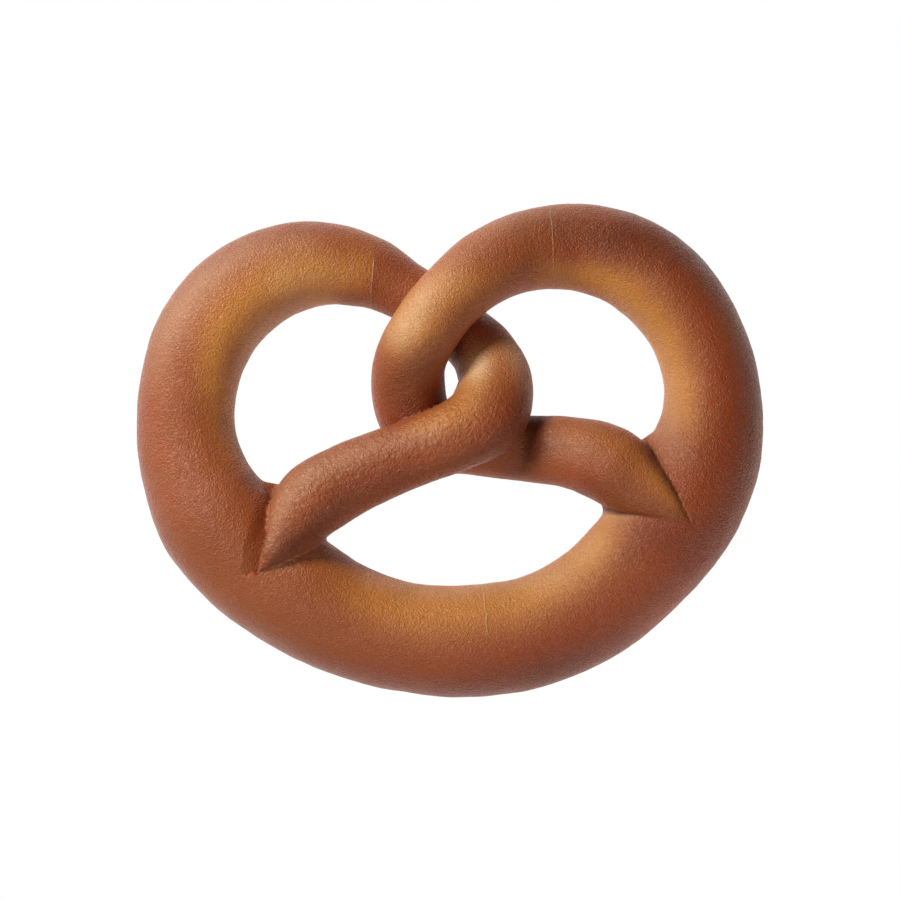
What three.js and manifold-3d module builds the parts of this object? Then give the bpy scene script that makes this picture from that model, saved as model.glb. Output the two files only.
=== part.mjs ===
// A giant soft pretzel: a display copy in one piece of moulded and painted foam.
// One thick rope of "dough" runs from its thin left end through the twist, round the ring
// and back through the twist to its thin right end. It lies flat, its shown side up (+Z).
// Millimetres. X runs along the pretzel's width, Y from the belly towards the two loops.
import * as THREE from 'three';
import { mergeVertices } from 'three/addons/utils/BufferGeometryUtils.js';
import Module from 'manifold-3d';

const wasm = await Module();
wasm.setup();

// Driving sizes
const PRETZEL_WIDTH = 360;        // over the outer sides of the two loops
const DRAWN_WIDTH = 360;          // the same distance in the stations below
const ROPE_FLATNESS = 0.86;       // height of the rope's section over its width
const SETTLE = 0.93;              // centre height over half height where the rope lies on a table
const TIGHTEST_INNER = 0.9;       // most that a bend's inner half width is of the bend's radius
const TIP_HALF = 1.5;             // half width of the rope's two thin ends
const CRUST_COLOUR = '#9a5a36';
const CRUST_ROUGHNESS = 0.5;

// Height of the rope's underside over the table
const ON_TABLE = 0;
const OVER_STRAND = 26;           // where one strand is pressed onto the other
const LEFT_TIP_LIFT = 55;         // where the thin ends lie on the ring
const RIGHT_TIP_LIFT = 54;

// How far the section's halves are squeezed together: 1 is the free rope, 2 half as high.
// Both ends reach deep into the ring that they are pressed onto, and the right end is also
// flattened from above. Each pair is the stations over which this changes
const PRESSED_SQUEEZE = 0.35;     // lower half, at both ends
const FLATTENED_SQUEEZE = 2;      // upper half, at the right end
const LEFT_COMES_FREE = [2.5, 4.5];
const RIGHT_IS_PRESSED = [49.5, 51.5];
const RIGHT_IS_FLATTENED = [51.5, 53.5];

// Fineness of the faceted rope
const SECTION_SIDES = 26;
const RINGS_PER_STATION = 3;

// Stations of the rope: x, y, height of the underside, half width
const LEFT_ARM = [
  [-114.8, -54.2, LEFT_TIP_LIFT, TIP_HALF],
  [-105.5, -44.5, 48, 8.5],
  [-94.3, -32.4, 35.5, 16.6],
  [-81.5, -19.4, 26, 21.3],
  [-62, -9.8, 23, 20.9],
  [-40, -2.6, 25, 19.9],
  [-18, 3, OVER_STRAND, 19.3],
];
const LEFT_STRAND = [
  [3, 9, OVER_STRAND, 20.5],
  [20.8, 18.2, 20, 22.8],
  [28.5, 36.5, 11, 21.6],
  [24.2, 54.3, 4, 19.1],
  [13.2, 68.9, ON_TABLE, 17.3],
  [-0.5, 82.6, ON_TABLE, 17],
  [-17.8, 96.2, ON_TABLE, 17.4],
  [-37.5, 108.8, ON_TABLE, 20.8],
];
const LEFT_LOOP = [
  [-62, 116.1, ON_TABLE, 24],
  [-89, 114, ON_TABLE, 26.5],
  [-114, 102.3, ON_TABLE, 28],
  [-133.5, 83, ON_TABLE, 28.5],
  [-146, 57, ON_TABLE, 28],
  [-151.3, 28, ON_TABLE, 28.3],
  [-148, 1.3, ON_TABLE, 30.6],
  [-138, -24.4, ON_TABLE, 34],
];
const BELLY = [
  [-120.8, -49.3, ON_TABLE, 33.8],
  [-97.5, -70.3, ON_TABLE, 34],
  [-70, -89.6, ON_TABLE, 32.2],
  [-36, -103.3, ON_TABLE, 31.4],
  [0, -109, ON_TABLE, 32.2],
  [36.3, -107, ON_TABLE, 32],
  [70.4, -95.1, ON_TABLE, 32.4],
  [97.8, -75.3, ON_TABLE, 33.3],
  [122, -51, ON_TABLE, 34.7],
];
const RIGHT_LOOP = [
  [140.5, -23.5, ON_TABLE, 33.3],
  [150.6, 4, ON_TABLE, 29.4],
  [151.9, 32, ON_TABLE, 27],
  [144.5, 59.5, ON_TABLE, 26.7],
  [130, 83, ON_TABLE, 27.3],
  [109.5, 100.6, ON_TABLE, 26.6],
  [84, 109.8, 1, 25.1],
  [58, 110.7, 7, 23.5],
];
const RIGHT_STRAND = [
  [32.7, 103.7, 18, 21.6],
  [10, 89.3, OVER_STRAND, 19.7],
  [-6.9, 72.2, OVER_STRAND, 19.8],
  [-18, 55, 18, 20.5],
  [-21.5, 38, 7, 21.4],
  [-19, 21, 1, 20.8],
  [-8, 9, ON_TABLE, 19.5],
  [10, 4, ON_TABLE, 18],
];
const RIGHT_ARM = [
  [29, -0.2, 2, 18.4],
  [48, -3.4, 7, 19.3],
  [66.5, -7, 13, 20.5],
  [84.5, -14.4, 20, 22.2],
  [98.8, -25.6, 30, 20],
  [114.4, -39.2, 46, 11],
  [128.6, -54, RIGHT_TIP_LIFT, TIP_HALF],
];
const STATIONS = [LEFT_ARM, LEFT_STRAND, LEFT_LOOP, BELLY, RIGHT_LOOP, RIGHT_STRAND, RIGHT_ARM].flat();
const LAST_STATION = STATIONS.length - 1;
const RING_START = LEFT_ARM.length + LEFT_STRAND.length;
const RING_END = LAST_STATION - RIGHT_ARM.length - RIGHT_STRAND.length;

// Centre line and half widths, both smooth and both read at the same t, from 0 to 1
const drawnScale = PRETZEL_WIDTH / DRAWN_WIDTH;
const smoothCurve = (points) => new THREE.CatmullRomCurve3(points, false, 'catmullrom', 0.5);
const centreLine = smoothCurve(STATIONS.map(([x, y, lift, half]) => {
  const centreHeight = lift + SETTLE * ROPE_FLATNESS * half;
  return new THREE.Vector3(x, y, centreHeight).multiplyScalar(drawnScale);
}));
const halfWidths = smoothCurve(STATIONS.map(([, , , half]) => new THREE.Vector3(half * drawnScale)));

// One over the bend's radius in plan at t; above 0 where the rope bends to its left
function bendAt(t) {
  const nearby = 0.25 / LAST_STATION;
  const before = Math.max(0, t - nearby);
  const after = Math.min(1, t + nearby);
  const distance = centreLine.getPoint(before).distanceTo(centreLine.getPoint(after));
  return centreLine.getTangent(before).cross(centreLine.getTangent(after)).z / distance;
}

// Half height of the section at a station, over that of the free rope, above or below its middle
function halfHeightAt(station, isAbove) {
  const { lerp, smoothstep } = THREE.MathUtils;
  if (isAbove) {
    return 1 / lerp(1, FLATTENED_SQUEEZE, smoothstep(station, ...RIGHT_IS_FLATTENED));
  }
  const isPressed = Math.max(
    1 - smoothstep(station, ...LEFT_COMES_FREE),
    smoothstep(station, ...RIGHT_IS_PRESSED),
  );
  return 1 / lerp(1, PRESSED_SQUEEZE, isPressed);
}

// A point of the rope's section at t; across and over run from -1 to 1.
// The inner side of a tight bend stops short of the bend's middle, so that it never folds over.
function pointOnRope(t, across, over) {
  const along = centreLine.getTangent(t);
  const right = along.clone().cross(new THREE.Vector3(0, 0, 1)).normalize();
  const up = right.clone().cross(along);
  const half = halfWidths.getPoint(t).x;
  const bend = bendAt(t);
  const isInner = bend * across < 0;
  const sideHalf = isInner ? Math.min(half, TIGHTEST_INNER / Math.abs(bend)) : half;
  const halfHeight = half * ROPE_FLATNESS * halfHeightAt(t * LAST_STATION, over > 0);
  return centreLine.getPoint(t)
    .addScaledVector(right, across * sideHalf)
    .addScaledVector(up, over * halfHeight);
}

// A closed solid from a three.js geometry
function solidFrom(geometry) {
  geometry.deleteAttribute('normal');
  geometry.deleteAttribute('uv');
  const merged = mergeVertices(geometry);
  return new wasm.Manifold(new wasm.Mesh({
    numProp: 3,
    vertProperties: new Float32Array(merged.getAttribute('position').array),
    triVerts: new Uint32Array(merged.getIndex().array),
  }));
}

function geometryFrom(solid) {
  const mesh = solid.getMesh();
  const geometry = new THREE.BufferGeometry();
  geometry.setAttribute('position', new THREE.BufferAttribute(mesh.vertProperties, 3));
  geometry.setIndex(new THREE.BufferAttribute(mesh.triVerts, 1));
  return geometry;
}

// A stretch of the rope: a closed cylinder bent along the centre line
function ropeBetween(firstStation, lastStation) {
  const rings = RINGS_PER_STATION * (lastStation - firstStation);
  const cylinder = new THREE.CylinderGeometry(1, 1, 1, SECTION_SIDES, rings);
  const position = cylinder.getAttribute('position');
  for (let n = 0; n < position.count; n++) {
    const progress = position.getY(n) + 0.5;
    const station = THREE.MathUtils.lerp(firstStation, lastStation, progress);
    const point = pointOnRope(station / LAST_STATION, position.getX(n), position.getZ(n));
    position.setXYZ(n, point.x, point.y, point.z);
  }
  return solidFrom(cylinder);
}

// What the flat underside cuts away: all below the table's top
function belowTable() {
  const box = new THREE.BoxGeometry(2 * PRETZEL_WIDTH, 2 * PRETZEL_WIDTH, PRETZEL_WIDTH);
  box.translate(0, 0, -PRETZEL_WIDTH / 2);
  return solidFrom(box);
}

// The rope crosses itself, so it is joined from three stretches that don't
function makePretzel() {
  const leftStretch = ropeBetween(0, RING_START);
  const ring = ropeBetween(RING_START, RING_END);
  const rightStretch = ropeBetween(RING_END, LAST_STATION);
  const geometry = geometryFrom(leftStretch.add(ring).add(rightStretch).subtract(belowTable()));
  geometry.computeBoundingBox();
  const middle = geometry.boundingBox.getCenter(new THREE.Vector3());
  geometry.translate(-middle.x, -middle.y, 0);
  const material = new THREE.MeshStandardMaterial({
    color: CRUST_COLOUR,
    roughness: CRUST_ROUGHNESS,
    metalness: 0,
  });
  const pretzel = new THREE.Mesh(geometry, material);
  pretzel.name = 'pretzel';
  return pretzel;
}

const model = new THREE.Group();
model.add(makePretzel());

export default model;
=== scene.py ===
# A giant soft pretzel: a display copy in moulded foam with an airbrushed crust, seen from above
import math

import bmesh
import bpy
import numpy as np
from mathutils import Matrix, Vector, noise


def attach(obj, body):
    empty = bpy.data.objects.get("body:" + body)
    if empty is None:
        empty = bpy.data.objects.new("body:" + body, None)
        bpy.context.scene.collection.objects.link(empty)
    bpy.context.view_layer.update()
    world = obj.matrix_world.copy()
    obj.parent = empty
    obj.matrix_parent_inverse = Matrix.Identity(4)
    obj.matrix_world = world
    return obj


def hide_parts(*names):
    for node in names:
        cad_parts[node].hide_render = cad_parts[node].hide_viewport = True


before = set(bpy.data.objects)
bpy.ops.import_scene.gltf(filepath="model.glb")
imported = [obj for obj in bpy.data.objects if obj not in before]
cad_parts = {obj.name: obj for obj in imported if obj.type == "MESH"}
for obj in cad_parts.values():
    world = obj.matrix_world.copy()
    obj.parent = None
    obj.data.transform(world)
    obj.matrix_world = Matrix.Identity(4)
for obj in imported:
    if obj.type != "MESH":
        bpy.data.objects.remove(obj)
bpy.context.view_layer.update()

MM = 0.001

# The rope's own sizes, in millimetres: the same stations as the solid has
ROPE_FLATNESS = 0.86              # height of the rope's section over its width
SETTLE = 0.93                     # centre height over half height where the rope lies on a table
TIP_HALF = 1.5
ON_TABLE = 0
OVER_STRAND = 26
LEFT_TIP_LIFT = 55
RIGHT_TIP_LIFT = 54

# Stations of the rope: x, y, height of the underside, half width
LEFT_ARM = [
    (-114.8, -54.2, LEFT_TIP_LIFT, TIP_HALF),
    (-105.5, -44.5, 48, 8.5),
    (-94.3, -32.4, 35.5, 16.6),
    (-81.5, -19.4, 26, 21.3),
    (-62, -9.8, 23, 20.9),
    (-40, -2.6, 25, 19.9),
    (-18, 3, OVER_STRAND, 19.3),
]
LEFT_STRAND = [
    (3, 9, OVER_STRAND, 20.5),
    (20.8, 18.2, 20, 22.8),
    (28.5, 36.5, 11, 21.6),
    (24.2, 54.3, 4, 19.1),
    (13.2, 68.9, ON_TABLE, 17.3),
    (-0.5, 82.6, ON_TABLE, 17),
    (-17.8, 96.2, ON_TABLE, 17.4),
    (-37.5, 108.8, ON_TABLE, 20.8),
]
LEFT_LOOP = [
    (-62, 116.1, ON_TABLE, 24),
    (-89, 114, ON_TABLE, 26.5),
    (-114, 102.3, ON_TABLE, 28),
    (-133.5, 83, ON_TABLE, 28.5),
    (-146, 57, ON_TABLE, 28),
    (-151.3, 28, ON_TABLE, 28.3),
    (-148, 1.3, ON_TABLE, 30.6),
    (-138, -24.4, ON_TABLE, 34),
]
BELLY = [
    (-120.8, -49.3, ON_TABLE, 33.8),
    (-97.5, -70.3, ON_TABLE, 34),
    (-70, -89.6, ON_TABLE, 32.2),
    (-36, -103.3, ON_TABLE, 31.4),
    (0, -109, ON_TABLE, 32.2),
    (36.3, -107, ON_TABLE, 32),
    (70.4, -95.1, ON_TABLE, 32.4),
    (97.8, -75.3, ON_TABLE, 33.3),
    (122, -51, ON_TABLE, 34.7),
]
RIGHT_LOOP = [
    (140.5, -23.5, ON_TABLE, 33.3),
    (150.6, 4, ON_TABLE, 29.4),
    (151.9, 32, ON_TABLE, 27),
    (144.5, 59.5, ON_TABLE, 26.7),
    (130, 83, ON_TABLE, 27.3),
    (109.5, 100.6, ON_TABLE, 26.6),
    (84, 109.8, 1, 25.1),
    (58, 110.7, 7, 23.5),
]
RIGHT_STRAND = [
    (32.7, 103.7, 18, 21.6),
    (10, 89.3, OVER_STRAND, 19.7),
    (-6.9, 72.2, OVER_STRAND, 19.8),
    (-18, 55, 18, 20.5),
    (-21.5, 38, 7, 21.4),
    (-19, 21, 1, 20.8),
    (-8, 9, ON_TABLE, 19.5),
    (10, 4, ON_TABLE, 18),
]
RIGHT_ARM = [
    (29, -0.2, 2, 18.4),
    (48, -3.4, 7, 19.3),
    (66.5, -7, 13, 20.5),
    (84.5, -14.4, 20, 22.2),
    (98.8, -25.6, 30, 20),
    (114.4, -39.2, 46, 11),
    (128.6, -54, RIGHT_TIP_LIFT, TIP_HALF),
]
STATIONS = np.array(
    LEFT_ARM + LEFT_STRAND + LEFT_LOOP + BELLY + RIGHT_LOOP + RIGHT_STRAND + RIGHT_ARM, float)

# Stretches of the rope, by station; each runs a little into the next
STRETCHES = {
    "left_arm": (0, 9.5),
    "left_strand": (8.5, 15.5),
    "ring": (14.5, 39.5),
    "right_strand": (38.5, 44.5),
    "right_arm": (43.5, 54),
}
SECTIONS_PER_STATION = 24

# How the rope's stretches are pressed together, in millimetres
CREASE_RADIUS = 1.6
SHARP_RADIUS = 0.8                # of the creases where the arms' ends are pressed on
EDGE_RADIUS = 0.5                 # of the edges left by cuts
TABLE_EDGE_RADIUS = 1.8           # round the flat underside
# x, y, reach and fillet of the webs in the four corners where an arm meets the ring,
# and of the wider crease where the right strand dives under the left arm
WEBS = [
    (-20, 18, 9, 4),
    (-105, -3, 11, 20),
    (-72, -42, 6, 7),
    (84, -42, 7, 8),
    (113, -1, 9, 15),
]
WEB_HEIGHTS = (28, 40)            # the webs fade out between these heights

# How far the section's halves are squeezed together: 1 is the free rope, 2 half as high.
# Both ends reach deep into the ring that they are pressed onto, and the right end is also
# flattened from above. Each pair is the stations over which this changes
PRESSED_SQUEEZE = 0.35            # lower half, at both ends
FLATTENED_SQUEEZE = 2.0           # upper half, at the right end
LEFT_COMES_FREE = (2.5, 4.5)
RIGHT_IS_PRESSED = (49.5, 51.5)
RIGHT_IS_FLATTENED = (51.5, 53.5)

# The left end is cut off along an edge, and the ring is scraped down towards that edge.
# Rows of y, x of the cut edge and x where the scraped pocket begins
LEFT_CUT = [
    (-55.5, -114.8, -125.0),
    (-50.9, -113.5, -124.6),
    (-41.5, -109.9, -122.2),
    (-32.9, -107.3, -119.4),
    (-24.2, -105.9, -117.0),
    (-16, -104.8, -114.5),
    (-9.4, -104.2, -112.0),
]
LEFT_CUT_OUTWARD = (-0.970, 0.205, 0.130)
LEFT_END_RIGHT = -76              # the left arm's end lies to the left of this x
POCKET_DEPTH = 4.6
POCKET_FADES_IN = (-8, -30)       # from y to y, going down
POCKET_SOFT = (-38, -18)          # its border is crisp below these y and soft above
POCKET_END = -56.2                # y of its lower end
POCKET_LOW = (24, 36)             # it fades out below these heights

# The right end meets the ring in a groove: a steep side of the ring along these points, y and x
GROOVE = [
    (-54.5, 129.4),
    (-48.8, 128.4),
    (-40.2, 125.7),
    (-30.9, 122.6),
    (-20.7, 118.0),
    (-9.5, 113.4),
]
GROOVE_INWARD = (-0.93, -0.37, 0)
GROOVE_DEPTH = 3.2
GROOVE_UNDERCUT = 0.27            # how far its side leans over, for each millimetre of depth
GROOVE_FADES_IN = (-6, -18)       # from y to y, going down
GROOVE_FADES_OUT = (-45, -54)
GROOVE_FLANK = (66, 50)           # slope in degrees of the arm's side, at the upper and lower end
GROOVE_ZONE = 3                   # half width of the zone with a sharp crease

# Mould seams: which stations they lie between, both ends of the line in plan, width and height
# of the ridge, and how pale it is
SEAMS = [
    {"stations": (13, 16), "start": (-37.9, 87.8), "end": (-33.2, 113.9),
     "width": 0.55, "height": 0.35, "paleness": 0.35},
    {"stations": (36.5, 39.5), "start": (67.4, 88), "end": (70, 132),
     "width": 0.5, "height": 0.22, "paleness": 0.22},
    {"stations": (25.5, 28.5), "start": (9.3, -78), "end": (9, -104),
     "width": 0.9, "height": 0.2, "paleness": 0.15},
]
SEAM_END = 2.5                    # how softly a seam ends along its line, in millimetres
SEAM_STATION_END = 0.3            # and at the end of its stretch of the rope, in stations
SEAM_WANDER = 1.2                 # how far it strays from its line, and over what length
SEAM_WANDER_SIZE = 7

# Soft lumps of the whole skin: height, size and the noise's place, in millimetres
LUMPS = [(0.45, 26, 5), (0.22, 9, 11), (0.09, 4, 17)]
LUMPS_START = (1.5, 6)            # heights over the table

# Fineness of the mesh, in millimetres: its faces, and the zone of finer faces at the creases
BASE_FACE = 1.95
CREASE_ZONE = 2.4
WIDEST_CREASE_ZONE = 4.5
LONGEST_MOVE = 3                  # of a vertex that settles on the skin, in one round

# Photograph: the camera looks straight down; the pretzel lies turned by 6 degrees in the picture
PICTURE_WIDTH = 0.51675           # metres of the plane through the rope's widest points
OUTLINE_HEIGHT = 0.026
LENS = 85
SENSOR = 36
PRETZEL_TURN = math.radians(6)
PICTURE_MIDDLE = (-0.0014, 0.0014)


def unit(vectors):
    """The vectors at length 1."""
    return vectors / np.linalg.norm(vectors, axis=1, keepdims=True)


def soft_step(low, high, values):
    """0 at low and 1 at high, with a smooth change between them."""
    t = np.clip((values - low) / (high - low), 0, 1)
    return t * t * (3 - 2 * t)


def between(first, last, softness, places):
    """1 between two stations, fading out round each of them."""
    begun = soft_step(first - softness, first + softness, places)
    not_ended = soft_step(-last - softness, softness - last, -places)
    return begun * not_ended


def smooth_curve(points, places):
    """A smooth curve through the points, read at places that count in points."""
    padded = np.vstack([2 * points[0] - points[1], points, 2 * points[-1] - points[-2]])
    start = np.minimum(places.astype(int), len(points) - 2)
    t = (places - start)[:, None]
    p0, p1, p2, p3 = (padded[start + n] for n in range(4))
    v1 = (p2 - p0) / 2
    v2 = (p3 - p1) / 2
    cubic = 2 * p1 - 2 * p2 + v1 + v2
    square = 3 * p2 - 3 * p1 - 2 * v1 - v2
    return ((cubic * t + square) * t + v1) * t + p1


class Stretch:
    """A stretch of the rope, as elliptic sections about a millimetre apart."""

    def __init__(self, first, last):
        count = round((last - first) * SECTIONS_PER_STATION) + 1
        self.place = np.linspace(first, last, count)
        x, y, lift, half = smooth_curve(STATIONS, self.place).T
        height = lift + SETTLE * ROPE_FLATNESS * half
        self.centre = np.stack([x, y, height], 1) - ROPE_SHIFT
        self.half = half
        step = np.gradient(self.centre, axis=0)
        self.length = np.linalg.norm(step, axis=1)
        self.along = unit(step)
        self.widening = np.gradient(half) / self.length
        self.right = unit(np.cross(self.along, (0, 0, 1)))
        self.up = np.cross(self.right, self.along)
        pressed_left = 1 - soft_step(*LEFT_COMES_FREE, self.place)
        pressed_right = soft_step(*RIGHT_IS_PRESSED, self.place)
        flattened = soft_step(*RIGHT_IS_FLATTENED, self.place)
        self.lower = 1 - (1 - PRESSED_SQUEEZE) * np.maximum(pressed_left, pressed_right)
        self.upper = 1 + (FLATTENED_SQUEEZE - 1) * flattened

    def read(self, points):
        """Distance from the skin, outward direction, station and side (-1 to 1) of each point."""
        nearest = np.argmin((self.centre ** 2).sum(1) - 2 * points @ self.centre.T, axis=1)
        off = points - self.centre[nearest]
        slide = np.einsum("ij,ij->i", off, self.along[nearest])
        beyond = ((nearest == 0) & (slide < 0)) | ((nearest == len(self.half) - 1) & (slide > 0))
        past_end = np.where(beyond, slide, 0)
        half = self.half[nearest] + np.where(beyond, 0, slide) * self.widening[nearest]
        across = np.einsum("ij,ij->i", off, self.right[nearest]) / half
        height = np.einsum("ij,ij->i", off, self.up[nearest])
        squeeze = np.where(height < 0, self.lower[nearest], self.upper[nearest])
        half_height = half * ROPE_FLATNESS / squeeze
        over = height / half_height
        ends = past_end / half
        size = np.sqrt(across ** 2 + over ** 2 + ends ** 2) + 1e-9
        slope = (self.right[nearest] * (across / half)[:, None]
                 + self.up[nearest] * (over / half_height)[:, None]
                 + self.along[nearest] * (ends / half)[:, None])
        steepness = np.linalg.norm(slope, axis=1) + 1e-12
        distance = (size - 1) * size / steepness
        place = self.place[nearest] + np.where(beyond, 0, slide) / self.length[nearest]
        return distance, slope / steepness[:, None], place, across


def rope_middle():
    """The middle of the rope's box in plan."""
    places = np.linspace(0, len(STATIONS) - 1, 2000)
    x, y, lift, half = smooth_curve(STATIONS, places).T
    along = unit(np.gradient(np.stack([x, y], 1), axis=0))
    side = np.stack([along[:, 1], -along[:, 0]], 1) * half[:, None]
    edges = np.vstack([np.stack([x, y], 1) + side, np.stack([x, y], 1) - side])
    return (edges.min(0) + edges.max(0)) / 2


ROPE_SHIFT = np.append(rope_middle(), 0)
ROPE = {name: Stretch(first, last) for name, (first, last) in STRETCHES.items()}


def column(rows, number, y):
    """A column of the rows, read at y."""
    table = np.array(rows, float)
    return np.interp(y, table[:, 0], table[:, number])


DEEP_INSIDE = -1e3                # the distance from a surface that cuts nothing off


def cut_by(reading, distance, outward, radius):
    """Cuts a reading of a solid off at another surface, with a rounded edge."""
    share = np.clip(1 - np.abs(distance - reading[0]) / radius, 0, 1)
    weight = np.where(distance > reading[0], 1 - share / 2, share / 2)[:, None]
    reading[0][:] = np.maximum(reading[0], distance) + share ** 2 * radius / 4
    reading[1][:] = unit(reading[1] * (1 - weight) + outward * weight)


def cut_left_end(points, arm, ring):
    """The left arm ends at its cut edge, and a pocket slopes down to that edge in the ring."""
    x, y, z = points.T
    edge = column(LEFT_CUT, 1, y)
    outward = np.array(LEFT_CUT_OUTWARD)
    cut_by(arm, (x - edge) * outward[0], np.tile(outward, (len(points), 1)), EDGE_RADIUS)
    # The pocket slopes from its border, which wavers a little, and ends under the arm
    border = column(LEFT_CUT, 2, y) + 0.25 * np.sin(0.5 * y)
    slope = np.clip((x - border) / (edge - border), 0, 1) ** (1 + soft_step(*POCKET_SOFT, y))
    under_arm = 0.5 * np.clip(y - POCKET_END, 1, 16)
    slope = slope * (1 - soft_step(0.3 * under_arm, under_arm, x - edge))
    # Its lower end is ragged
    end = POCKET_END + 0.5 * np.sin(1.1 * x) + 0.3 * np.sin(2.7 * x)
    length = soft_step(*POCKET_FADES_IN, y) * soft_step(end - 0.6, end + 0.6, y)
    ring[0][:] += POCKET_DEPTH * slope * length * soft_step(*POCKET_LOW, z)


def cut_right_end(points, arm, ring):
    """The right arm and the ring part at a groove, steep on the ring's side."""
    x, y, z = points.T
    inward = np.array(GROOVE_INWARD)
    inside = (x - column(GROOVE, 1, y)) * inward[0]
    inward = np.tile(inward, (len(points), 1))
    lower_end = GROOVE[0][0]
    upper_end = GROOVE[-1][0]
    along = soft_step(*GROOVE_FADES_IN, y) * (1 - soft_step(*GROOVE_FADES_OUT, y))
    reach = np.clip(0.6 * (y - lower_end), 1, 14)
    depth = GROOVE_DEPTH * along * (1 - soft_step(0.5, 1, inside / reach))
    # The arm's side of the groove is a flank
    slope = np.radians(np.interp(y, (lower_end, upper_end), GROOVE_FLANK[::-1]))
    flank = (ring[0] + depth) * np.cos(slope) - inside * np.sin(slope)
    flank_outward = ring[1] * np.cos(slope)[:, None] - inward * np.sin(slope)[:, None]
    beside = (np.abs(inside) < 12) & (y < GROOVE_FADES_IN[0])
    cut_by(arm, np.where(beside, flank, DEEP_INSIDE), unit(flank_outward), 4 * EDGE_RADIUS)
    # The ring's side is a wall that stands on the groove's floor
    floor = ring[0] + depth
    wall = inside - GROOVE_UNDERCUT * ring[0]
    wall_outward = unit(inward - GROOVE_UNDERCUT * ring[1])
    on_floor = (floor < wall)[:, None]
    cut_by(ring, np.minimum(wall, floor), np.where(on_floor, ring[1], wall_outward), 0.5 * EDGE_RADIUS)


def join_radius(points):
    """Radius of the crease between two stretches: larger in the webs, smaller at the cuts."""
    x, y, z = points.T
    radius = np.full(len(points), CREASE_RADIUS)
    at_left_end = (x < LEFT_END_RIGHT) & (y < LEFT_CUT[-1][0])
    at_groove = (np.abs(x - column(GROOVE, 1, y)) < GROOVE_ZONE) & (y < GROOVE[-1][0])
    radius[(at_left_end | at_groove) & (z > WEB_HEIGHTS[0])] = SHARP_RADIUS
    low = 1 - soft_step(*WEB_HEIGHTS, z)
    for web_x, web_y, reach, fillet in WEBS:
        near = np.exp(-((x - web_x) ** 2 + (y - web_y) ** 2) / reach ** 2)
        radius = radius + (fillet - CREASE_RADIUS) * near * low
    return radius


def tooled(points):
    """Where the two pressed-on ends are cut and scraped, and a little beyond."""
    x, y, z = points.T
    in_pocket = (x > column(LEFT_CUT, 2, y) - 1.5) & (x < column(LEFT_CUT, 1, y) + 1.5)
    in_pocket = in_pocket & (y < POCKET_FADES_IN[0]) & (y > POCKET_END - 2)
    in_groove = np.abs(x - column(GROOVE, 1, y) + 1) < 2.5
    in_groove = in_groove & (y < GROOVE_FADES_IN[0]) & (y > GROOVE[0][0] - 1)
    return (in_pocket | in_groove) & (z > POCKET_LOW[0])


def read_pretzel(points):
    """Distance from the skin, outward direction, stretch, station, side and depth of the crease."""
    by_name = {name: stretch.read(points) for name, stretch in ROPE.items()}
    cut_left_end(points, by_name["left_arm"], by_name["ring"])
    cut_right_end(points, by_name["right_arm"], by_name["ring"])
    readings = list(by_name.values())
    distances = np.stack([r[0] for r in readings])
    everyone = np.arange(len(points))
    first = distances.argmin(0)
    # A crease lies only between two stretches that don't run into each other
    others = distances.copy()
    for n in range(len(ROPE)):
        others[n, np.abs(first - n) <= 1] = np.inf
    second = others.argmin(0)
    gap = others[second, everyone] - distances[first, everyone]
    radius = join_radius(points)
    share = np.clip(1 - gap / radius, 0, 1)
    directions = np.stack([r[1] for r in readings])
    outward = (directions[first, everyone] * (1 - share / 2)[:, None]
               + directions[second, everyone] * (share / 2)[:, None])
    distance = distances[first, everyone] - share ** 2 * radius / 4
    down = np.tile((0, 0, -1.0), (len(points), 1))
    cut_by((distance, outward), -points[:, 2], down, TABLE_EDGE_RADIUS)
    places = np.stack([r[2] for r in readings])[first, everyone]
    sides = np.stack([r[3] for r in readings])[first, everyone]
    return distance, outward, first, places, sides, gap


def settle_on_skin(points, rounds):
    """Moves points to the skin."""
    for _ in range(rounds):
        distance, outward = read_pretzel(points)[:2]
        points = points - outward * np.clip(distance, -LONGEST_MOVE, LONGEST_MOVE)[:, None]
    return points


def points_of(mesh):
    """The mesh's vertices in millimetres."""
    flat = np.zeros(len(mesh.vertices) * 3)
    mesh.vertices.foreach_get("co", flat)
    return flat.reshape(-1, 3) / MM


def put_points(mesh, points):
    mesh.vertices.foreach_set("co", (points * MM).ravel())
    mesh.update()


def even_faces(mesh, size):
    """A closed mesh of even faces over the skin of another."""
    piece = bpy.data.objects.new("even", mesh)
    bpy.context.scene.collection.objects.link(piece)
    remesh = piece.modifiers.new("even", "REMESH")
    remesh.mode = "VOXEL"
    remesh.voxel_size = size * MM
    graph = bpy.context.evaluated_depsgraph_get()
    even = bpy.data.meshes.new_from_object(piece.evaluated_get(graph))
    bpy.data.objects.remove(piece)
    return even


def relax(mesh, rounds):
    """Evens out the faces along the skin: each vertex moves towards the mean of its neighbours."""
    edges = np.zeros(len(mesh.edges) * 2, int)
    mesh.edges.foreach_get("vertices", edges)
    a, b = edges.reshape(-1, 2).T
    for _ in range(rounds):
        points = points_of(mesh)
        total = np.zeros_like(points)
        np.add.at(total, a, points[b])
        np.add.at(total, b, points[a])
        count = np.bincount(a, minlength=len(points)) + np.bincount(b, minlength=len(points))
        move = (total / count[:, None] - points) * 0.5
        put_points(mesh, settle_on_skin(points + move, 1))


def halve_faces(mesh, marked):
    """Halves the faces round the marked vertices."""
    work = bmesh.new()
    work.from_mesh(mesh)
    work.verts.ensure_lookup_table()
    edges = [e for e in work.edges if marked[e.verts[0].index] or marked[e.verts[1].index]]
    bmesh.ops.subdivide_edges(work, edges=edges, cuts=1, use_grid_fill=True)
    bmesh.ops.triangulate(work, faces=[f for f in work.faces if len(f.verts) > 4])
    work.to_mesh(mesh)
    work.free()
    put_points(mesh, settle_on_skin(points_of(mesh), 3))


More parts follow.
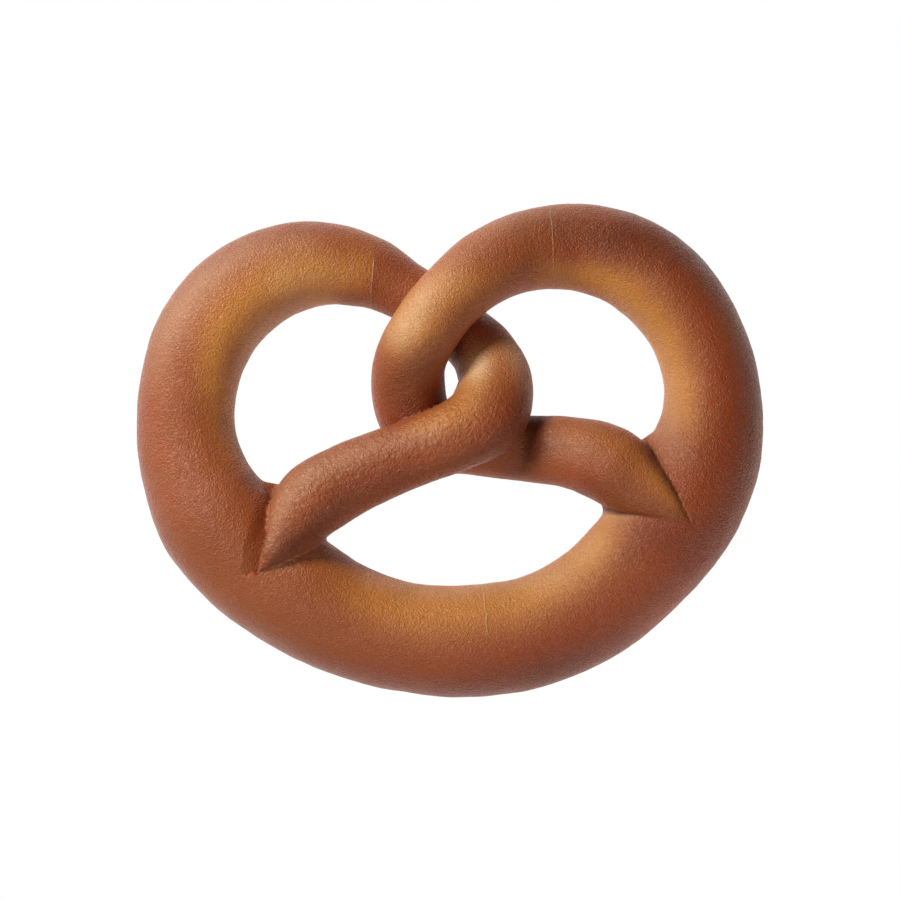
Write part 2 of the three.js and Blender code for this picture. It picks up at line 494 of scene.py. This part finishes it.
def near_creases(mesh):
    """Which vertices lie where two stretches of the rope meet, or at the cut ends."""
    points = points_of(mesh)
    zone = np.clip(join_radius(points), CREASE_ZONE, WIDEST_CREASE_ZONE)
    return (read_pretzel(points)[5] < zone) | tooled(points)


def lumps(points, size, seed):
    """Even soft noise from -1 to 1, with lumps of about that size in millimetres."""
    return np.array([noise.noise(Vector(p) / size + Vector((seed, 2 * seed, 3 * seed))) for p in points])


def add_relief(mesh):
    """Raises soft lumps all over the skin but for the flat underside."""
    points = points_of(mesh)
    outward = read_pretzel(points)[1]
    height = sum(tall * lumps(points, size, seed) for tall, size, seed in LUMPS)
    height = height * soft_step(*LUMPS_START, points[:, 2])
    points = points + outward * height[:, None]
    points[:, 2] = np.maximum(points[:, 2], 0)
    put_points(mesh, points)


# Airbrushed colours, painted highlights and painted shade. Each stroke covers the rope from one station to
# another, and follows points that each have x, y and reach in millimetres, and a strength
OCHRE_STROKES = [
    # The left loop's inner half
    (13.5, 22, [(-62, 107, 14, 1), (-80, 108, 14, 1), (-96, 103, 14, 1), (-110, 95, 14, 1),
                (-121, 84, 13, 1), (-127, 72, 11, 0.95), (-129, 58, 10, 0.85), (-128, 44, 9, 0.75),
                (-127, 30, 9, 0.6), (-126, 14, 8, 0.3)]),
    # The ring beside the left end: ochre paint, and painted light over the arm's shadow
    (21, 24, [(-94, -53, 5, 0.12), (-80, -49, 6, 0.2), (-70, -46, 5, 0.2)]),
    # The belly's inner half
    (22, 31, [(-76, -58, 10, 0.2), (-60, -72, 13, 0.55), (-38, -83, 14, 0.85), (-18, -86, 15, 0.95),
              (6, -87, 15, 0.95), (28, -86, 14, 1), (46, -80, 13, 1), (62, -71, 12, 1), (76, -60, 11, 1),
              (84, -49, 9, 0.7)]),
    # The right loop's inner half
    (32, 39.5, [(134, -4, 8, 0.4), (132, 12, 10, 0.85), (131, 28, 11, 1), (128, 42, 12, 1),
                (123, 58, 12, 1), (115, 71, 12, 1), (105, 82, 11, 1), (92, 90, 10, 0.9),
                (78, 93, 8, 0.6), (60, 95, 7, 0.4)]),
    # The right strand over the upper crossing
    (39, 44, [(30, 92, 12, 0.2), (12, 92, 13, 0.6), (-2, 88, 14, 0.9), (-12, 80, 15, 1), (-18, 72, 14, 1),
              (-22, 64, 10, 0.6)]),
    # The left strand, inside the twist, and the left arm's upper side
    (6, 12, [(24, 53, 7, 0.4), (20, 45.5, 10, 0.9), (13, 34, 10, 0.75), (7, 24, 9, 0.75),
             (-6, 18, 7, 0.65), (-22, 15, 6, 0.6), (-38, 11, 6, 0.3)]),
    # The left strand's outer side
    (8, 12, [(34, 56, 8, 0.25), (37, 46, 8, 0.3), (38, 36, 7, 0.15)]),
    # The left strand above the upper crossing
    (12, 15, [(-27, 104, 9, 0.08), (-18, 97, 8, 0.12)]),
    # The right arm's upper side
    (48, 54, [(62, 8, 9, 0.2), (84, 2, 10, 0.25), (98, -10, 10, 0.3), (108, -22, 8, 0.4),
              (118, -36, 7, 0.5), (126, -50, 5, 0.3)]),
]
GOLD_STROKES = [
    # The left strand up to the first seam
    (13.5, 16.5, [(-24, 104, 15, 0.5), (-40, 106, 14, 0.6), (-52, 107, 13, 0.85)]),
]
# Painted light: painted highlights and sheen on the sides that face the lamps, painted reflections of the
# white table on the rims, and light painted over shadows
PAINTED_LIGHT_STROKES = [
    # Painted sheen on the left loop's outer side
    (13.5, 22, [(-70, 128, 8, 0.1), (-100, 128, 9, 0.16), (-124, 117, 10, 0.22), (-142, 101, 11, 0.26),
                (-155, 82, 10, 0.2), (-163, 58, 8, 0.06)]),
    # Painted reflection of the white table on its inner rim
    (13.5, 22, [(-62, 94, 6, 0.12), (-84, 90, 6, 0.18), (-102, 80, 6, 0.2), (-113, 62, 4, 0.2),
                (-117, 40, 4, 0.15), (-118, 20, 4, 0.15), (-117, 4, 4, 0.1)]),
    # Painted light on the ring beside the left end, over the arm's shadow
    (21, 24, [(-106, -53, 3, 0.1), (-92, -52, 4, 0.12), (-78, -47, 4, 0.1), (-68, -44, 4, 0.1)]),
    # Painted reflection of the white table on the belly's inner rim
    (22, 31, [(-54, -68, 5, 0.15), (-20, -77, 6, 0.2), (20, -78, 6, 0.22), (50, -75, 8, 0.25),
              (70, -62, 8, 0.22), (82, -48, 7, 0.15)]),
    # The ring below the right arm
    (29, 33, [(86, -43, 5, 0.3), (96, -45, 4, 0.25)]),
    # Painted reflection of the white table on the right loop's inner rim
    (32, 39.5, [(124, 2, 6, 0.15), (126, 14, 6, 0.2), (127, 36, 7, 0.18), (118, 60, 6, 0.12),
                (100, 80, 5, 0.1)]),
    # The ring above the right arm
    (31, 34, [(112, 4, 6, 0.1), (122, -6, 8, 0.14), (129, -18, 7, 0.08)]),
    # Painted reflection of the white table on the right loop's outer rim
    (33, 39, [(178, 20, 6, 0.08), (176, 46, 7, 0.15), (168, 72, 7, 0.15), (152, 94, 6, 0.08)]),
    # The right strand over the upper crossing
    (39, 44, [(10, 96, 8, 0.1), (-4, 90, 9, 0.25), (-14, 80, 9, 0.35), (-23, 69, 9, 0.35)]),
    # The left strand, inside the twist
    (6, 12, [(23, 52, 6, 0.35), (19, 46.5, 6.5, 0.65), (14, 38, 6, 0.02)]),
    # The left strand above the upper crossing
    (12, 15, [(-26, 103, 8, 0.08), (-18, 96, 8, 0.08)]),
    # The left loop's top
    (13.5, 18, [(-52, 108, 9, 0.03), (-66, 108, 12, 0.08), (-85, 106, 12, 0.14)]),
    # The left strand's outer side
    (8, 12, [(38, 58, 8, 0.2), (44, 46, 8, 0.32), (46, 32, 7, 0.2)]),
    # The right loop's upper rim
    (36, 41, [(84, 130, 8, 0.03), (56, 129, 9, 0.06), (32, 121, 9, 0.08), (12, 106, 8, 0.06)]),
    # The left arm's upper side
    (0, 8, [(-8, 12, 6, 0.12), (-40, 8, 6, 0.16), (-62, 3, 7, 0.18), (-84, -6, 8, 0.2),
            (-96, -16, 7, 0.2), (-102, -28, 5, 0.15), (-107, -42, 4, 0.1)]),
    # The right arm's crown
    (48, 51, [(58, 0, 10, 0.08), (70, -4, 11, 0.1)]),
]
# Dark paint, and painted shade and painted shadows where the pretzel shades itself
DARK_AND_SHADE_STROKES = [
    # The left loop's outer rim, darker towards its edge: dark paint, and painted shade
    (14, 23, [(-60, 138, 8, 0.25), (-100, 134, 9, 0.3), (-136, 118, 9, 0.35), (-162, 93, 9, 0.35),
              (-177, 62, 9, 0.35), (-181, 28, 9, 0.35), (-179, -5, 9, 0.3), (-170, -36, 9, 0.25)]),
    # The right loop's outer half
    (30, 40, [(112, -122, 18, 0.35), (134, -100, 18, 0.35), (156, -66, 18, 0.4), (168, -36, 18, 0.35),
              (174, 0, 17, 0.4), (176, 36, 15, 0.45), (166, 74, 15, 0.4), (148, 98, 16, 0.5),
              (120, 110, 17, 0.7), (98, 112, 15, 0.6), (76, 120, 13, 0.4), (56, 124, 10, 0.2)]),
    # The belly's lower rim
    (22, 31, [(-110, -104, 12, 0.1), (-60, -132, 13, 0.3), (0, -140, 15, 0.5), (50, -132, 16, 0.6),
              (84, -122, 15, 0.4)]),
    # The ring below the right arm
    (27, 32, [(92, -66, 10, 0.2), (108, -58, 13, 0.35), (126, -62, 14, 0.35)]),
    # The ring to the right of the right arm
    (32, 35, [(136, -32, 9, 0.35), (142, -14, 10, 0.25)]),
    # The ring to the left of the left arm
    (20, 24, [(-152, -8, 14, 0.1), (-146, -26, 16, 0.15), (-136, -44, 13, 0.1)]),
    # The left loop's inner rim, near the first seam
    (13.5, 16.5, [(-42, 90, 4, 0.2), (-54, 92, 4, 0.2)]),
    # Painted shade on the ring above the left arm's end, in the corner below the hole
    (20.5, 23, [(-116, -3, 5, 0.5), (-107, -8, 5, 0.5)]),
    # The right strand below the upper crossing: purple-brown paint, and painted shade where the left arm
    # lies over it
    (42, 48, [(-6, 58, 8, 0.4), (-20, 44, 12, 0.5), (-28, 32, 10, 0.4), (-14, 24, 8, 0.5),
              (-6, 34, 6, 0.5)]),
    # Painted shadow of the right strand on the left strand, where it dives under the upper crossing
    (9.5, 13, [(4, 78, 8, 0.6), (14, 72, 9, 0.5), (22, 70, 9, 0.45), (30, 72, 8, 0.5)]),
    # Painted shadow of the left strand on the right arm, where it comes out from under the lower crossing
    (47, 51, [(30, -16, 8, 0.5), (40, -12, 8, 0.6), (46, -4, 9, 1), (48, 3, 9, 1), (50, 10, 8, 1)]),
    # Painted shade in the small hole, on its left side
    (44, 47, [(-3, 44, 5, 0.8), (-2, 34, 5, 0.8), (0, 26, 4, 0.6)]),
    # Painted shade in the small hole, on its right side
    (8.5, 12, [(5, 64, 6, 0.75), (9, 58, 5, 0.8), (8, 52, 4, 0.75), (7, 46, 3, 0.6)]),
    # The right arm's lower side
    (49, 54, [(76, -28, 9, 0.35), (92, -36, 8, 0.35), (108, -44, 6, 0.35)]),
    # Painted shade on the right arm's side in the groove
    (50, 54, [(113, -12, 4, 0.6), (117, -20, 4.5, 0.6), (122, -32, 4, 0.65), (127, -46, 3, 0.5)]),
    # The left strand's outer bend
    (6, 11, [(46, 28, 9, 0.35), (40, 12, 11, 0.5), (24, -4, 10, 0.45), (0, -8, 8, 0.3)]),
    # Painted shade on the left arm's lower side, along its crease with the ring
    (0, 6, [(-20, -10, 10, 0.3), (-50, -12, 14, 0.3), (-70, -28, 9, 0.5), (-82, -36, 9, 0.7),
            (-94, -42, 8, 0.7), (-106, -50, 5, 0.6)]),
]
RED_STROKES = [
    # The left strand above the upper crossing
    (12, 15, [(-26, 104, 10, 0.65), (-20, 98, 9, 0.6)]),
    # The right strand below the upper crossing
    (43, 47, [(-34, 26, 8, 0.6), (-16, 24, 8, 0.7), (-4, 32, 8, 0.8)]),
    # The right arm's lower side
    (49, 52, [(60, -20, 8, 0.4), (78, -26, 6, 0.4)]),
    # The ring round the right arm's end
    (30, 34, [(108, -56, 12, 0.4), (122, -44, 13, 0.5), (132, -24, 13, 0.5), (134, -6, 9, 0.2)]),
    # The right loop's top
    (36, 39, [(112, 98, 9, 0.4), (86, 103, 9, 0.8), (64, 105, 8, 0.5)]),
    # The left strand below the upper crossing
    (9, 13, [(10, 76, 10, 0.6), (22, 68, 12, 0.7), (34, 66, 10, 0.5)]),
    # The left strand's outer bend
    (7, 11, [(42, 36, 9, 0.4), (36, 18, 12, 0.6), (20, 2, 12, 0.5)]),
    # The left arm's lower half
    (0, 8, [(-10, -2, 13, 0.4), (-45, -8, 14, 0.4), (-75, -24, 12, 0.4), (-92, -38, 9, 0.3)]),
    # The belly's outer half
    (23, 32, [(-90, -112, 12, 0.2), (-40, -124, 15, 0.5), (10, -126, 18, 0.7), (56, -116, 22, 0.8),
              (92, -98, 22, 0.6), (118, -76, 24, 0.65)]),
    # The right loop's outer half
    (30, 40, [(130, -70, 26, 0.7), (150, -40, 24, 0.7), (158, -4, 22, 0.75), (158, 36, 20, 0.7),
              (146, 76, 18, 0.6), (122, 106, 16, 0.4), (92, 112, 12, 0.2)]),
]
# The creases get painted shade but for the left arm's lower one, where these strokes leave it out
CREASE_UNSHADED_STROKES = [
    (21, 24, [(-110, -54, 5, 0.8), (-94, -49, 6, 1), (-80, -45, 7, 1), (-68, -42, 6, 1)]),
]
CREASE_SHADE = 0.5                # strength and reach of the painted shade in the creases
CREASE_SHADE_REACH = 4
STROKE_END = 0.4                  # how softly a stroke ends along the rope, in stations
SPRAYS_PER_POINT = 8              # a stroke is a row of round sprays
COARSE_SKIN_ENDS = (6, 9)         # the left arm's skin is coarser; this fades out between stations


def sprayed(points, places, strokes):
    """Strength at each point, from 0 to 1, of a set of strokes of sprayed paint, painted shade and painted
    light.
    """
    bare = np.ones(len(points))
    for first, last, stroke in strokes:
        steps = np.linspace(0, len(stroke) - 1, SPRAYS_PER_POINT * (len(stroke) - 1) + 1)
        x, y, reach, strength = smooth_curve(np.array(stroke, float), steps).T
        square = (points[:, 0, None] - x) ** 2 + (points[:, 1, None] - y) ** 2
        sprays = strength * np.exp(-square / reach ** 2)
        covered = between(first, last, STROKE_END, places)
        bare = bare * (1 - sprays.max(1) * covered)
    return 1 - bare


def add_colours(mesh, name, *channels):
    """Stores up to four values of each vertex as the channels of a colour."""
    values = np.ones((len(mesh.vertices), 4))
    for n, channel in enumerate(channels):
        values[:, n] = channel
    layer = mesh.color_attributes.new(name, "FLOAT_COLOR", "POINT")
    layer.data.foreach_set("color", values.ravel())


def seam_strength(points, places, seam):
    """1 along a seam's line on its own stretch of the rope, fading out at its two ends."""
    start = np.array(seam["start"], float)
    end = np.array(seam["end"], float)
    length = np.linalg.norm(end - start)
    down = (points[:, :2] - start) @ ((end - start) / length)
    near = soft_step(-SEAM_END, SEAM_END, down) * soft_step(-SEAM_END, SEAM_END, length - down)
    return near * between(*seam["stations"], SEAM_STATION_END, places)


def paint(mesh):
    """Stores the sprayed paint on the mesh with its painted shade and painted highlights, the coarse skin,
    and where the mould seams lie.
    """
    points = points_of(mesh)
    readings = read_pretzel(points)
    places = readings[3]
    # Painted shade in the creases, left out along the left arm's lower crease
    crease_shade = CREASE_SHADE * (1 - soft_step(0, CREASE_SHADE_REACH, readings[5]))
    crease_shade = crease_shade * (1 - sprayed(points, places, CREASE_UNSHADED_STROKES))
    seams = [seam_strength(points, places, seam) for seam in SEAMS]
    ochre, dark_and_shade, red = (sprayed(points, places, strokes)
                        for strokes in (OCHRE_STROKES, DARK_AND_SHADE_STROKES, RED_STROKES))
    gold, painted_light = (sprayed(points, places, strokes) for strokes in (GOLD_STROKES, PAINTED_LIGHT_STROKES))
    # Channels: ochre, dark paint with painted shade, brick; gold, painted crease shade, painted light
    add_colours(mesh, "airbrush_and_shade", ochre, dark_and_shade, red)
    add_colours(mesh, "gold", gold, crease_shade, painted_light)
    coarse = (1 - soft_step(*COARSE_SKIN_ENDS, places)) * soft_step(0, CREASE_SHADE_REACH, readings[5])
    add_colours(mesh, "skin", coarse)
    add_colours(mesh, "seams", *seams)


class Nodes:
    """Short names for the making of a material's nodes."""

    def __init__(self, name):
        self.material = bpy.data.materials.new(name)
        self.material.use_nodes = True
        self.tree = self.material.node_tree
        self.tree.nodes.clear()

    def add(self, kind, settings=None, **inputs):
        """A node with its settings and inputs; an input's name has _ for each blank."""
        node = self.tree.nodes.new(kind)
        for key, value in (settings or {}).items():
            setattr(node, key, value)
        for key, value in inputs.items():
            self.put(node.inputs[key.replace("_", " ")], value)
        return node

    def put(self, socket, value):
        if isinstance(value, bpy.types.NodeSocket):
            self.tree.links.new(value, socket)
        else:
            socket.default_value = value

    def math(self, operation, a, b=0.0, clamp=False):
        node = self.add("ShaderNodeMath", {"operation": operation, "use_clamp": clamp})
        self.put(node.inputs[0], a)
        self.put(node.inputs[1], b)
        return node.outputs[0]

    def mix(self, factor, a, b):
        node = self.add("ShaderNodeMix", {"data_type": "RGBA"})
        self.put(node.inputs[0], factor)
        self.put(node.inputs[6], a)
        self.put(node.inputs[7], b)
        return node.outputs[2]

    def spread(self, value, low, high, to_low=0.0, to_high=1.0):
        """to_low where the value is at low, to_high where it is at high, smooth between."""
        node = self.add("ShaderNodeMapRange", {"interpolation_type": "SMOOTHSTEP"})
        for n, number in enumerate((value, low, high, to_low, to_high)):
            self.put(node.inputs[n], number)
        return node.outputs[0]

    def grain(self, where, size, detail=2.0, roughness=0.5):
        """Noise with grains of that size in millimetres."""
        node = self.add("ShaderNodeTexNoise", Vector=where, Scale=1 / (size * MM), Detail=detail,
                        Roughness=roughness)
        return node.outputs["Fac"]

    def split(self, colour):
        return self.add("ShaderNodeSeparateColor", Color=colour).outputs[0:3]

    def channels(self, name):
        """The three channels of colours stored on the mesh."""
        return self.split(self.add("ShaderNodeVertexColor", {"layer_name": name}).outputs["Color"])

    def broken(self, paint, shift):
        """A sprayed paint's strength, made uneven where there is paint."""
        uneven = self.math("MULTIPLY", shift, self.spread(paint, 0.0, 0.5))
        return self.math("ADD", paint, uneven, clamp=True)


# Colours of the paint: the plain crust, the sprayed ones, the dark one that also serves as painted shade,
# the pale one for painted highlights and seams, and the tint of its gloss
CRUST_RED = (0.350, 0.083, 0.020, 1)
CRUST_OCHRE = (0.600, 0.218, 0.037, 1)
CRUST_DARK_AND_SHADE = (0.130, 0.027, 0.009, 1)
CRUST_BRICK = (0.330, 0.046, 0.007, 1)
CRUST_HIGHLIGHT_AND_SEAM = (0.780, 0.530, 0.300, 1)
CRUST_GLOSS = (1.0, 0.91, 0.83, 1)
GLOSS_STRENGTH = 0.5
DARK_GLOSS_STRENGTH = 0.1         # where the dark paint and painted shade are strongest
CRUST_ROUGHNESS = 0.42
ROUGHNESS_SPREAD = 0.06
# A fine haze on the paint, pale where the skin turns away
CRUST_HAZE = 0.05
HAZE_ROUGHNESS = 0.4
HAZE_COLOUR = (1.0, 0.85, 0.80, 1)

# Sizes of the sprayed paint's soft clouds and fine specks in millimetres, and their strengths
CLOUD_SIZE = 22
CLOUD_STRENGTH = 0.5
SPECK_SIZE = 1.5
SPECK_STRENGTH = 0.35

# Sizes and heights of the skin's relief, in millimetres
WRINKLE_SIZE = 1.15
WRINKLE_HEIGHT = 0.85
WAVE_SIZE = 3.2
WAVE_HEIGHT = 0.35
COARSE_WAVES = 3.5                # how much higher the waves are on the coarse skin
FURROW_SPACING = 3.0
FURROW_DEPTH = 0.05
FURROW_SHADE = 0.12               # strength of the painted shade in the furrows
PINHOLE_SPACING = 6.0
PINHOLE_DEPTH = 0.30
PINHOLE_RADII = (0.03, 0.085)     # of its bottom and its rim, as shares of the spacing
# strength of the painted shade in the pinholes
PINHOLE_SHADE = 0.5
NO_PINHOLE = 0.45                 # share of the places that stay without one
BEND_SIZE = 5                     # the relief is bent a little, by soft noise of this size
BEND_REACH = 2.5


def seam_distance(n, where, seam):
    """Signed distance in metres from a seam's line; above 0 to the right of start to end."""
    start = Vector((*seam["start"], 0)) * MM
    along = (Vector((*seam["end"], 0)) * MM - start).normalized()
    off = n.add("ShaderNodeVectorMath", {"operation": "SUBTRACT"})
    n.put(off.inputs[0], where)
    off.inputs[1].default_value = start
    aside = n.add("ShaderNodeVectorMath", {"operation": "DOT_PRODUCT"})
    n.put(aside.inputs[0], off.outputs[0])
    aside.inputs[1].default_value = (along.y, -along.x, 0)
    wander = n.math("SUBTRACT", n.grain(where, SEAM_WANDER_SIZE, detail=1.0), 0.5)
    return n.math("ADD", aside.outputs["Value"], n.math("MULTIPLY", wander, SEAM_WANDER * MM))


def crust_relief(n, where, coarse):
    """Height of the skin in metres, and the strengths of its furrows and pinholes."""
    bend = n.add("ShaderNodeTexNoise", Vector=where, Scale=1 / (BEND_SIZE * MM), Detail=1.0)
    bent = n.add("ShaderNodeVectorMath", {"operation": "MULTIPLY_ADD"})
    n.put(bent.inputs[0], bend.outputs["Color"])
    n.put(bent.inputs[1], (BEND_REACH * MM,) * 3)
    n.put(bent.inputs[2], where)
    bent = bent.outputs[0]
    # Fine leathery wrinkles on wider waves
    wrinkles = n.grain(bent, WRINKLE_SIZE, detail=1.5, roughness=0.6)
    wrinkles = n.math("MULTIPLY", wrinkles, WRINKLE_HEIGHT * MM)
    wave_height = n.spread(coarse, 0.0, 1.0, WAVE_HEIGHT * MM, COARSE_WAVES * WAVE_HEIGHT * MM)
    waves = n.math("MULTIPLY", n.grain(bent, WAVE_SIZE, detail=1.0), wave_height)
    height = n.math("ADD", wrinkles, waves)
    # Thin furrows between them
    middle = n.math("SUBTRACT", n.grain(bent, FURROW_SPACING, detail=1.5), 0.5)
    furrow = n.spread(n.math("ABSOLUTE", middle), 0.0, 0.035, 1.0, 0.0)
    height = n.math("SUBTRACT", height, n.math("MULTIPLY", furrow, FURROW_DEPTH * MM))
    # Sparse pinholes
    cells = n.add("ShaderNodeTexVoronoi", {"feature": "F1"}, Vector=where, Scale=1 / (PINHOLE_SPACING * MM))
    has_pinhole = n.math("GREATER_THAN", n.split(cells.outputs["Color"])[0], NO_PINHOLE)
    pinhole = n.spread(cells.outputs["Distance"], *PINHOLE_RADII, 1.0, 0.0)
    pinhole = n.math("MULTIPLY", pinhole, has_pinhole)
    height = n.math("SUBTRACT", height, n.math("MULTIPLY", pinhole, PINHOLE_DEPTH * MM))
    return height, furrow, pinhole


def crust_material():
    n = Nodes("painted_crust")
    where = n.add("ShaderNodeTexCoord").outputs["Object"]
    # Ochre, dark paint with painted shade, brick; gold, painted crease shade, painted light
    ochre, dark_and_shade, brick = n.channels("airbrush_and_shade")
    gold, crease_shade, painted_light = n.channels("gold")
    coarse = n.channels("skin")[0]
    on_seam = n.channels("seams")

    # Seams: thin pale ridges. The gold paint ends at the first one
    ridges = []
    for seam, near in zip(SEAMS, on_seam):
        away = n.math("ABSOLUTE", seam_distance(n, where, seam))
        ridges.append(n.math("MULTIPLY", near, n.spread(away, 0.0, seam["width"] * MM, 1.0, 0.0)))
    left_of_seam = n.spread(seam_distance(n, where, SEAMS[0]), -0.4 * MM, 0.3 * MM, 1.0, 0.0)

    # Sprayed colours, painted shade and painted highlights, broken up by clouds and specks
    clouds = n.grain(where, CLOUD_SIZE, detail=3)
    specks = n.grain(where, SPECK_SIZE, detail=3, roughness=0.6)
    shift = n.math("ADD", n.math("MULTIPLY", n.math("SUBTRACT", clouds, 0.5), CLOUD_STRENGTH),
                   n.math("MULTIPLY", n.math("SUBTRACT", specks, 0.5), SPECK_STRENGTH))
    ochre = n.math("MAXIMUM", ochre, n.math("MULTIPLY", gold, left_of_seam))
    # The painted crease shade joins the dark paint and painted shade
    dark_and_shade = n.math("MAXIMUM", dark_and_shade, crease_shade)
    colour = n.mix(n.broken(brick, shift), CRUST_RED, CRUST_BRICK)
    colour = n.mix(n.broken(ochre, shift), colour, CRUST_OCHRE)
    colour = n.mix(n.broken(painted_light, shift), colour, CRUST_HIGHLIGHT_AND_SEAM)
    colour = n.mix(n.broken(dark_and_shade, shift), colour, CRUST_DARK_AND_SHADE)
    for seam, ridge in zip(SEAMS, ridges):
        colour = n.mix(n.math("MULTIPLY", ridge, seam["paleness"]), colour, CRUST_HIGHLIGHT_AND_SEAM)

    # Relief, with painted shade in its pinholes and furrows
    height, furrow, pinhole = crust_relief(n, where, coarse)
    for seam, ridge in zip(SEAMS, ridges):
        height = n.math("ADD", height, n.math("MULTIPLY", ridge, seam["height"] * MM))
    skin = n.add("ShaderNodeBump", Strength=1.0, Distance=1.0, Height=height)
    colour = n.mix(n.math("MULTIPLY", pinhole, PINHOLE_SHADE), colour, CRUST_DARK_AND_SHADE)
    colour = n.mix(n.math("MULTIPLY", furrow, FURROW_SHADE), colour, CRUST_DARK_AND_SHADE)

    # Satin paint, duller where the dark paint and painted shade lie
    gloss = n.spread(dark_and_shade, 0.4, 1.0, GLOSS_STRENGTH, DARK_GLOSS_STRENGTH)
    roughness = n.spread(specks, 0.2, 0.8, CRUST_ROUGHNESS - ROUGHNESS_SPREAD,
                         CRUST_ROUGHNESS + ROUGHNESS_SPREAD)
    shader = n.add("ShaderNodeBsdfPrincipled", Base_Color=colour, Normal=skin.outputs[0],
                   Roughness=roughness, Specular_IOR_Level=gloss)
    shader.inputs["Specular Tint"].default_value = CRUST_GLOSS
    shader.inputs["Sheen Weight"].default_value = CRUST_HAZE
    shader.inputs["Sheen Roughness"].default_value = HAZE_ROUGHNESS
    shader.inputs["Sheen Tint"].default_value = HAZE_COLOUR
    out = n.add("ShaderNodeOutputMaterial")
    n.put(out.inputs["Surface"], shader.outputs[0])
    return n.material


def plain_material(name, base, emission):
    """A plain white surface that also gives off light."""
    n = Nodes(name)
    shader = n.add("ShaderNodeBsdfPrincipled", Base_Color=(base, base, base, 1), Roughness=0.8)
    shader.inputs["Emission Color"].default_value = (1, 1, 1, 1)
    shader.inputs["Emission Strength"].default_value = emission
    out = n.add("ShaderNodeOutputMaterial")
    n.put(out.inputs["Surface"], shader.outputs[0])
    return n.material


def make_pretzel():
    # Even faces on the skin, finer at the creases and finest at the two cut ends
    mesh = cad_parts["pretzel"].data.copy()
    for rounds in (5, 4):
        mesh = even_faces(mesh, BASE_FACE)
        put_points(mesh, settle_on_skin(points_of(mesh), rounds))
    relax(mesh, 3)
    halve_faces(mesh, near_creases(mesh))
    relax(mesh, 2)
    halve_faces(mesh, tooled(points_of(mesh)))
    relax(mesh, 1)
    add_relief(mesh)
    paint(mesh)
    mesh.polygons.foreach_set("use_smooth", np.ones(len(mesh.polygons), bool))
    mesh.materials.clear()
    mesh.materials.append(crust_material())
    piece = bpy.data.objects.new("painted_pretzel", mesh)
    bpy.context.scene.collection.objects.link(piece)
    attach(piece, "root")
    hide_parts("pretzel")


# The table and the white backdrop, in metres
TABLE_SIZE = 6
TABLE_TOP = -0.0002
TABLE_WHITE = 0.85
TABLE_GLOW = 0.62
BACKDROP_RADIUS = 8


def make_surroundings():
    """A pale table that lights the rope's lower sides, and the pure white that is seen instead."""
    bpy.ops.mesh.primitive_plane_add(size=TABLE_SIZE, location=(0, 0, TABLE_TOP))
    table = bpy.context.active_object
    table.name = "table"
    table.visible_camera = False
    table.data.materials.append(plain_material("pale_table", TABLE_WHITE, TABLE_GLOW))
    bpy.ops.mesh.primitive_uv_sphere_add(segments=32, ring_count=16, radius=BACKDROP_RADIUS)
    backdrop = bpy.context.active_object
    backdrop.name = "backdrop"
    backdrop.visible_diffuse = False
    backdrop.visible_glossy = False
    backdrop.visible_transmission = False
    backdrop.visible_shadow = False
    backdrop.data.materials.append(plain_material("white_backdrop", 0.0, 1.0))


# Directions of the picture, in the pretzel's frame
PICTURE_RIGHT = Vector((math.cos(PRETZEL_TURN), -math.sin(PRETZEL_TURN), 0))
PICTURE_UP = Vector((math.sin(PRETZEL_TURN), math.cos(PRETZEL_TURN), 0))


def in_picture(right, up, height):
    """A place by its distance to the right and up in the picture, in metres."""
    return PICTURE_RIGHT * right + PICTURE_UP * up + Vector((0, 0, height))


def make_camera():
    camera = bpy.data.cameras.new("camera")
    camera.lens = LENS
    camera.sensor_width = SENSOR
    camera.clip_start = 0.05
    distance = PICTURE_WIDTH * LENS / SENSOR
    holder = bpy.data.objects.new("camera", camera)
    middle = Vector((*PICTURE_MIDDLE, OUTLINE_HEIGHT + distance))
    turn = Matrix((PICTURE_RIGHT, PICTURE_UP, Vector((0, 0, 1)))).transposed().to_4x4()
    holder.matrix_world = Matrix.Translation(middle) @ turn
    bpy.context.scene.collection.objects.link(holder)
    bpy.context.scene.camera = holder


# Name, direction in the picture and rise in degrees, distance and size in metres, brightness
LAMPS = [
    ("key", 137, 36, 1.2, 0.30, 2.86),
    ("low_fill", 270, 25, 1.2, 0.8, 0.16),
    ("low_right_fill", 315, 25, 1.2, 0.8, 0.79),
    ("high_fill", 230, 62, 1.2, 0.7, 0.93),
]
WORLD_GLOW = 0.01


def from_direction(turn, rise):
    """A unit vector by its direction in the picture, counted from its right, and its rise."""
    turn = math.radians(turn)
    rise = math.radians(rise)
    return in_picture(math.cos(turn) * math.cos(rise), math.sin(turn) * math.cos(rise), math.sin(rise))


def add_lamp(name, place, size, watts):
    """A square white lamp that shines at the pretzel."""
    lamp = bpy.data.lights.new(name, "AREA")
    lamp.shape = "SQUARE"
    lamp.size = size
    lamp.energy = watts
    holder = bpy.data.objects.new(name, lamp)
    holder.location = place
    holder.rotation_euler = (-place).to_track_quat("-Z", "Y").to_euler()
    bpy.context.scene.collection.objects.link(holder)


def light_studio():
    world = bpy.data.worlds.new("studio")
    world.use_nodes = True
    background = world.node_tree.nodes["Background"]
    background.inputs["Color"].default_value = (1, 1, 1, 1)
    background.inputs["Strength"].default_value = WORLD_GLOW
    bpy.context.scene.world = world
    for name, turn, rise, distance, size, brightness in LAMPS:
        place = from_direction(turn, rise) * distance
        add_lamp(name, place, size, brightness * math.pi * distance ** 2)


bpy.context.scene.view_settings.view_transform = "Standard"
make_camera()
make_surroundings()
light_studio()
make_pretzel()
